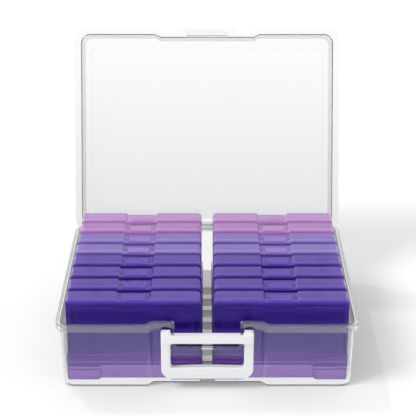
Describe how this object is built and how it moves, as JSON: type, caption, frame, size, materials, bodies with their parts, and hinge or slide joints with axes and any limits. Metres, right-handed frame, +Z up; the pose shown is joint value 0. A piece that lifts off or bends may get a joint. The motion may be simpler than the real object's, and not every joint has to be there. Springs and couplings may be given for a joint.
{
  "type": "photo storage case",
  "caption": "Clear carrying box with an open hinged lid and folding handle, holding two rows of slim tinted photo cases that stand on their long edges.",
  "frame": {"origin": "centre of the tray's underside", "axes": "+X right, +Y towards the hinge, +Z up out of the tray"},
  "size_m": [0.383, 0.4317, 0.3545],
  "materials": {
    "clear_shell": "clear, slightly milky moulded polypropylene",
    "white_handle": "satin white moulded plastic",
    "purple_case": "translucent tinted polypropylene",
    "lavender_case": "translucent tinted polypropylene",
    "orchid_case": "translucent tinted polypropylene"
  },
  "bodies": {
    "tray": {"tray": "clear_shell"},
    "lid": {"lid": "clear_shell", "lid_top": "clear_shell"},
    "handle": {"handle": "white_handle"},
    "case_left_1": {"case_left_1_body": "purple_case", "case_left_1_lid": "purple_case"},
    "case_left_2": {"case_left_2_body": "purple_case", "case_left_2_lid": "purple_case"},
    "case_left_3": {"case_left_3_body": "purple_case", "case_left_3_lid": "purple_case"},
    "case_left_4": {"case_left_4_body": "purple_case", "case_left_4_lid": "purple_case"},
    "case_left_5": {"case_left_5_body": "lavender_case", "case_left_5_lid": "lavender_case"},
    "case_left_6": {"case_left_6_body": "lavender_case", "case_left_6_lid": "lavender_case"},
    "case_left_7": {"case_left_7_body": "orchid_case", "case_left_7_lid": "orchid_case"},
    "case_left_8": {"case_left_8_body": "orchid_case", "case_left_8_lid": "orchid_case"},
    "case_right_1": {"case_right_1_body": "purple_case", "case_right_1_lid": "purple_case"},
    "case_right_2": {"case_right_2_body": "purple_case", "case_right_2_lid": "purple_case"},
    "case_right_3": {"case_right_3_body": "purple_case", "case_right_3_lid": "purple_case"},
    "case_right_4": {"case_right_4_body": "purple_case", "case_right_4_lid": "purple_case"},
    "case_right_5": {"case_right_5_body": "lavender_case", "case_right_5_lid": "lavender_case"},
    "case_right_6": {"case_right_6_body": "lavender_case", "case_right_6_lid": "lavender_case"},
    "case_right_7": {"case_right_7_body": "orchid_case", "case_right_7_lid": "orchid_case"},
    "case_right_8": {"case_right_8_body": "orchid_case", "case_right_8_lid": "orchid_case"}
  },
  "joints": [
    {"name": "lid_hinge", "type": "hinge", "parent": "tray", "child": "lid", "pos_m": [0, 0.1415, 0.0883], "axis": [-1, 0, 0], "range_deg": [-112.4, 0]},
    {"name": "handle_pivot", "type": "hinge", "parent": "tray", "child": "handle", "pos_m": [0, -0.142, 0.0753], "axis": [-1, 0, 0], "range_deg": [0, 95]},
    {"name": "case_left_1_lift", "type": "slide", "parent": "tray", "child": "case_left_1", "axis": [0, 0, 1], "range_m": [0, 0.125]},
    {"name": "case_left_2_lift", "type": "slide", "parent": "tray", "child": "case_left_2", "axis": [0, 0, 1], "range_m": [0, 0.125]},
    {"name": "case_left_3_lift", "type": "slide", "parent": "tray", "child": "case_left_3", "axis": [0, 0, 1], "range_m": [0, 0.125]},
    {"name": "case_left_4_lift", "type": "slide", "parent": "tray", "child": "case_left_4", "axis": [0, 0, 1], "range_m": [0, 0.125]},
    {"name": "case_left_5_lift", "type": "slide", "parent": "tray", "child": "case_left_5", "axis": [0, 0, 1], "range_m": [0, 0.125]},
    {"name": "case_left_6_lift", "type": "slide", "parent": "tray", "child": "case_left_6", "axis": [0, 0, 1], "range_m": [0, 0.125]},
    {"name": "case_left_7_lift", "type": "slide", "parent": "tray", "child": "case_left_7", "axis": [0, 0, 1], "range_m": [0, 0.125]},
    {"name": "case_left_8_lift", "type": "slide", "parent": "tray", "child": "case_left_8", "axis": [0, 0, 1], "range_m": [0, 0.125]},
    {"name": "case_right_1_lift", "type": "slide", "parent": "tray", "child": "case_right_1", "axis": [0, 0, 1], "range_m": [0, 0.125]},
    {"name": "case_right_2_lift", "type": "slide", "parent": "tray", "child": "case_right_2", "axis": [0, 0, 1], "range_m": [0, 0.125]},
    {"name": "case_right_3_lift", "type": "slide", "parent": "tray", "child": "case_right_3", "axis": [0, 0, 1], "range_m": [0, 0.125]},
    {"name": "case_right_4_lift", "type": "slide", "parent": "tray", "child": "case_right_4", "axis": [0, 0, 1], "range_m": [0, 0.125]},
    {"name": "case_right_5_lift", "type": "slide", "parent": "tray", "child": "case_right_5", "axis": [0, 0, 1], "range_m": [0, 0.125]},
    {"name": "case_right_6_lift", "type": "slide", "parent": "tray", "child": "case_right_6", "axis": [0, 0, 1], "range_m": [0, 0.125]},
    {"name": "case_right_7_lift", "type": "slide", "parent": "tray", "child": "case_right_7", "axis": [0, 0, 1], "range_m": [0, 0.125]},
    {"name": "case_right_8_lift", "type": "slide", "parent": "tray", "child": "case_right_8", "axis": [0, 0, 1], "range_m": [0, 0.125]}
  ]
}
